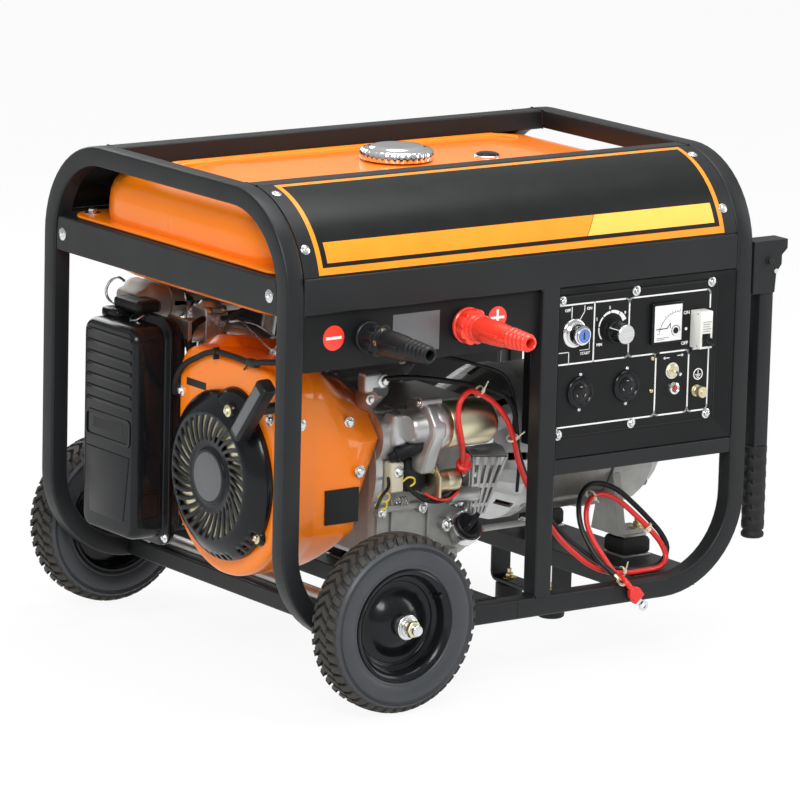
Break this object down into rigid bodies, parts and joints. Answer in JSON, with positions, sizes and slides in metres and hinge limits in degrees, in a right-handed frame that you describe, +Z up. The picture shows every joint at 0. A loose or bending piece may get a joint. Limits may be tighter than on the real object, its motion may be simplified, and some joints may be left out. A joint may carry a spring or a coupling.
{
  "type": "engine driven welder",
  "caption": "Petrol engine and welding alternator in an open tube frame with fuel tank, control panel, weld sockets with plugs, two wheels and two fold-out handles.",
  "frame": {"origin": "middle of the whole machine's footprint, on the floor", "axes": "+Z up, +X along the engine shaft from the recoil starter to the handles, -Y towards the control panel side"},
  "size_m": [0.77, 0.778, 0.635],
  "materials": {
    "black_powder_coat": "satin black powder coat",
    "black_plastic": "moulded black plastic",
    "black_gloss_plastic": "glossy black plastic",
    "orange_paint": "gloss orange paint",
    "cast_alloy": "sand-blasted cast aluminium",
    "machined_alloy": "bright aluminium",
    "yellow_zinc": "yellow passivated zinc on steel",
    "plain_steel": "bright zinc-plated steel",
    "rubber": "black moulded rubber",
    "tyre": "worn-in black tyre rubber",
    "copper_winding": "varnished copper windings on steel laminations",
    "heat_grey_steel": "heat-tinted grey steel",
    "red_plastic": "red insulating plastic",
    "blue_plastic": "blue plastic key head",
    "red_cable": "red cable jacket",
    "black_cable": "black cable jacket"
  },
  "bodies": {
    "frame": {"air_cleaner_case": "black_plastic", "air_cleaner_cover": "black_plastic", "alternator_cross_member": "black_powder_coat", "alternator_drive_housing": "cast_alloy", "alternator_end_bell": "cast_alloy", "alternator_stator": "black_powder_coat", "axle": "plain_steel", "axle_cross_member": "black_powder_coat", "black_battery_lead": "black_cable", "carburettor": "cast_alloy", "control_panel": "black_powder_coat", "crankcase": "cast_alloy", "cylinder_head": "cast_alloy", "engine_cross_member": "black_powder_coat", "fan_cowl": "orange_paint", "front_alternator_mount": "rubber", "front_engine_mount": "rubber", "front_handle_bracket": "black_powder_coat", "front_panel_frame": "black_powder_coat", "front_support_foot": "rubber", "front_top_rail": "black_powder_coat", "front_visor": "black_powder_coat", "fuel_tank": "orange_paint", "left_frame_loop": "black_powder_coat", "left_tank_bar": "black_powder_coat", "muffler": "heat_grey_steel", "rear_alternator_mount": "rubber", "rear_engine_mount": "rubber", "rear_handle_bracket": "black_powder_coat", "rear_support_foot": "rubber", "rear_top_rail": "black_powder_coat", "rear_upper_rail": "black_powder_coat", "rear_visor": "black_powder_coat", "recoil_cover": "black_gloss_plastic", "red_battery_lead": "red_cable", "red_lead_boot": "red_plastic", "right_frame_loop": "black_powder_coat", "right_tank_bar": "black_powder_coat", "starter_motor": "yellow_zinc", "starter_solenoid": "yellow_zinc", "weld_panel": "black_powder_coat"},
    "front_wheel": {"front_tyre": "tyre", "front_rim": "black_powder_coat"},
    "rear_wheel": {"rear_tyre": "tyre", "rear_rim": "black_powder_coat"},
    "front_handle": {"front_handle": "black_powder_coat"},
    "rear_handle": {"rear_handle": "black_powder_coat"},
    "crank_train": {"crankshaft": "plain_steel", "flywheel_fan": "yellow_zinc", "alternator_rotor": "copper_winding"},
    "recoil_grip": {"recoil_grip": "black_plastic"},
    "fuel_cap": {"fuel_cap": "machined_alloy"},
    "oil_filler_cap": {"oil_filler_cap": "black_plastic"},
    "key_switch": {"key_switch": "blue_plastic"},
    "current_knob": {"current_knob": "black_plastic"},
    "breaker_lever": {"breaker_lever": "black_plastic"},
    "toggle_lever": {"toggle_lever": "plain_steel"},
    "choke_lever": {"choke_lever": "plain_steel"},
    "negative_plug": {"negative_plug": "black_plastic"},
    "positive_plug": {"positive_plug": "red_plastic"}
  },
  "joints": [
    {"name": "front_wheel_spin", "type": "hinge", "parent": "frame", "child": "front_wheel", "pos_m": [-0.251, -0.307, 0.111], "axis": [0, 1, 0], "continuous": true},
    {"name": "rear_wheel_spin", "type": "hinge", "parent": "frame", "child": "rear_wheel", "pos_m": [-0.251, 0.337, 0.111], "axis": [0, 1, 0], "continuous": true},
    {"name": "front_handle_fold", "type": "hinge", "parent": "frame", "child": "front_handle", "pos_m": [0.356, -0.2475, 0.497], "axis": [0, -1, 0], "range_deg": [0, 90]},
    {"name": "rear_handle_fold", "type": "hinge", "parent": "frame", "child": "rear_handle", "pos_m": [0.356, 0.2775, 0.497], "axis": [0, -1, 0], "range_deg": [0, 90]},
    {"name": "crank_spin", "type": "hinge", "parent": "frame", "child": "crank_train", "pos_m": [-0.329, -0.04, 0.25], "axis": [1, 0, 0], "continuous": true},
    {"name": "recoil_pull", "type": "slide", "parent": "frame", "child": "recoil_grip", "axis": [-1, 0, 0], "range_m": [0, 0.5], "stiffness_N_per_m": 30},
    {"name": "fuel_cap_lift", "type": "slide", "parent": "frame", "child": "fuel_cap", "axis": [0, 0, 1], "range_m": [0, 0.12]},
    {"name": "oil_cap_turn", "type": "hinge", "parent": "frame", "child": "oil_filler_cap", "pos_m": [-0.019, -0.1366, 0.1682], "axis": [0, -0.8, 0.6], "range_deg": [-720, 0]},
    {"name": "key_turn", "type": "hinge", "parent": "frame", "child": "key_switch", "pos_m": [0.0525, -0.2723, 0.4307], "axis": [0, 1, 0], "range_deg": [0, 90]},
    {"name": "current_knob_turn", "type": "hinge", "parent": "frame", "child": "current_knob", "pos_m": [0.1135, -0.2573, 0.428], "axis": [0, 1, 0], "range_deg": [-135, 135]},
    {"name": "breaker_flip", "type": "hinge", "parent": "frame", "child": "breaker_lever", "pos_m": [0.24675, -0.2765, 0.4075], "axis": [1, 0, 0], "range_deg": [-70, 0]},
    {"name": "toggle_flip", "type": "hinge", "parent": "frame", "child": "toggle_lever", "pos_m": [0.21, -0.2579, 0.3675], "axis": [0, 0, 1], "range_deg": [-15, 15]},
    {"name": "choke_turn", "type": "hinge", "parent": "frame", "child": "choke_lever", "pos_m": [-0.236, 0.1087, 0.406], "axis": [0, 1, 0], "range_deg": [0, 60]},
    {"name": "negative_plug_lock", "type": "hinge", "parent": "frame", "child": "negative_plug", "pos_m": [-0.266, -0.253, 0.458], "axis": [0, -1, 0], "range_deg": [0, 90]},
    {"name": "positive_plug_lock", "type": "hinge", "parent": "frame", "child": "positive_plug", "pos_m": [-0.117, -0.253, 0.458], "axis": [0, -1, 0], "range_deg": [0, 90]}
  ]
}
